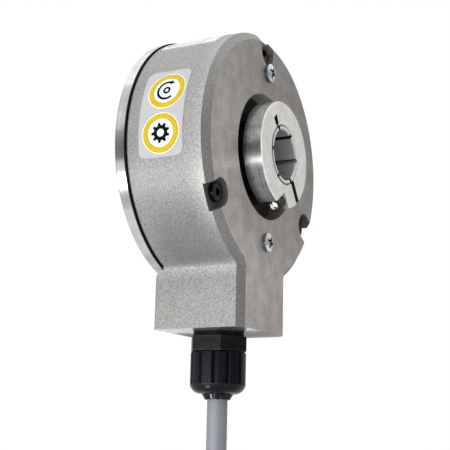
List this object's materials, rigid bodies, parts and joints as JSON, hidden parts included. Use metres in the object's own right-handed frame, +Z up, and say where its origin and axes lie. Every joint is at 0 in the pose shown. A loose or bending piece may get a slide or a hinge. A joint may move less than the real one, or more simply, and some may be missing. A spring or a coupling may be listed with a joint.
{
  "type": "rotary encoder",
  "caption": "Hollow-shaft optical rotary encoder: cast round housing with side leg and cable gland, split clamp ring on a slotted shaft, bearings, glass disc, reader.",
  "frame": {"origin": "on the shaft axis, in the plane of the housing's machined front face", "axes": "+Y along the shaft to the rear cover, +Z up, the terminal leg and cable leave along -Z, +X to the right seen from the front"},
  "size_m": [0.101, 0.0484, 0.2155],
  "materials": {
    "cast_aluminium": "sand-cast grain, machined front face",
    "turned_aluminium": "turned",
    "black_rubber": "matte",
    "black_steel": "black oxide",
    "zinc_steel": "blue zinc plate",
    "bearing_steel": "ground",
    "spring_steel": "satin",
    "black_plastic": "matte",
    "clear_red": "clear",
    "clear_glass": "polished",
    "board_green": "solder mask",
    "brass_pins": "plain",
    "can_aluminium": "satin",
    "white_plastic": "satin",
    "core_brown": "insulation",
    "core_green": "insulation",
    "core_white": "insulation",
    "core_yellow": "insulation",
    "core_red": "insulation",
    "braid": "tinned braid",
    "cable_grey": "extruded PVC",
    "black_nylon": "satin",
    "label_silver": "foil label without text",
    "label_light": "film label without text",
    "shaft_steel": "turned",
    "ring_steel": "turned",
    "screw_steel": "bright",
    "cage_brass": "pressed"
  },
  "bodies": {
    "housing_body": {"housing": "cast_aluminium", "rear_cover": "turned_aluminium", "cover_gasket": "black_rubber", "cover_screws": "black_steel", "torque_arm_screws": "zinc_steel", "front_seal": "black_rubber", "rear_seal": "black_rubber", "front_bearing_outer_race": "bearing_steel", "rear_bearing_outer_race": "bearing_steel", "front_bearing_shields": "bearing_steel", "rear_bearing_shields": "bearing_steel", "bearing_outer_spacer": "turned_aluminium", "wave_spring": "spring_steel", "bearing_circlip": "black_steel", "reader_frame": "black_plastic", "reader_led": "clear_red", "reader_lens": "clear_glass", "reader_mask": "clear_glass", "sensor_board": "board_green", "sensor_chip": "black_plastic", "sensor_pins": "brass_pins", "reader_screws": "bearing_steel", "reader_nuts": "bearing_steel", "main_board": "board_green", "board_chips": "black_plastic", "board_capacitors": "can_aluminium", "board_connector": "white_plastic", "board_standoffs": "brass_pins", "board_screws": "bearing_steel", "wire_plug": "white_plastic", "wire_brown": "core_brown", "wire_green": "core_green", "wire_white": "core_white", "wire_yellow": "core_yellow", "wire_red": "core_red", "cable_shield": "braid", "cable_jacket": "cable_grey", "gland_body": "black_nylon", "gland_o_ring": "black_rubber", "gland_seal": "black_rubber", "gland_claw_cage": "black_nylon", "type_label": "label_silver", "instruction_label": "label_light"},
    "rotor": {"hollow_shaft": "shaft_steel", "clamp_ring": "ring_steel", "front_bearing_inner_race": "bearing_steel", "rear_bearing_inner_race": "bearing_steel", "bearing_inner_spacer": "turned_aluminium", "disc_hub": "turned_aluminium", "code_disc": "clear_glass", "disc_clamp_plate": "turned_aluminium", "disc_screws": "bearing_steel", "shaft_circlip": "black_steel"},
    "clamp_screw_body": {"clamp_screw": "screw_steel"},
    "front_ball_set": {"front_bearing_balls": "bearing_steel", "front_bearing_cage": "cage_brass"},
    "rear_ball_set": {"rear_bearing_balls": "bearing_steel", "rear_bearing_cage": "cage_brass"},
    "gland_nut_body": {"gland_nut": "black_nylon"}
  },
  "joints": [
    {"name": "shaft_spin", "type": "hinge", "parent": "housing_body", "child": "rotor", "pos_m": [0, 0, 0], "axis": [0, 1, 0], "continuous": true},
    {"name": "front_cage_spin", "type": "hinge", "parent": "housing_body", "child": "front_ball_set", "pos_m": [0, 0.01485, 0], "axis": [0, 1, 0], "continuous": true},
    {"name": "rear_cage_spin", "type": "hinge", "parent": "housing_body", "child": "rear_ball_set", "pos_m": [0, 0.02495, 0], "axis": [0, 1, 0], "continuous": true},
    {"name": "clamp_screw_turn", "type": "hinge", "parent": "rotor", "child": "clamp_screw_body", "pos_m": [0.00935, -0.004, -0.01311], "axis": [0.8141, 0, 0.5807], "range_deg": [-1080, 0]},
    {"name": "gland_nut_turn", "type": "hinge", "parent": "housing_body", "child": "gland_nut_body", "pos_m": [0, 0.02, -0.085], "axis": [0, 0, 1], "range_deg": [-1080, 0]}
  ],
  "couplings": [
    {"joint": "front_cage_spin", "follows": "shaft_spin", "ratio": 0.4419},
    {"joint": "rear_cage_spin", "follows": "shaft_spin", "ratio": 0.4419}
  ]
}
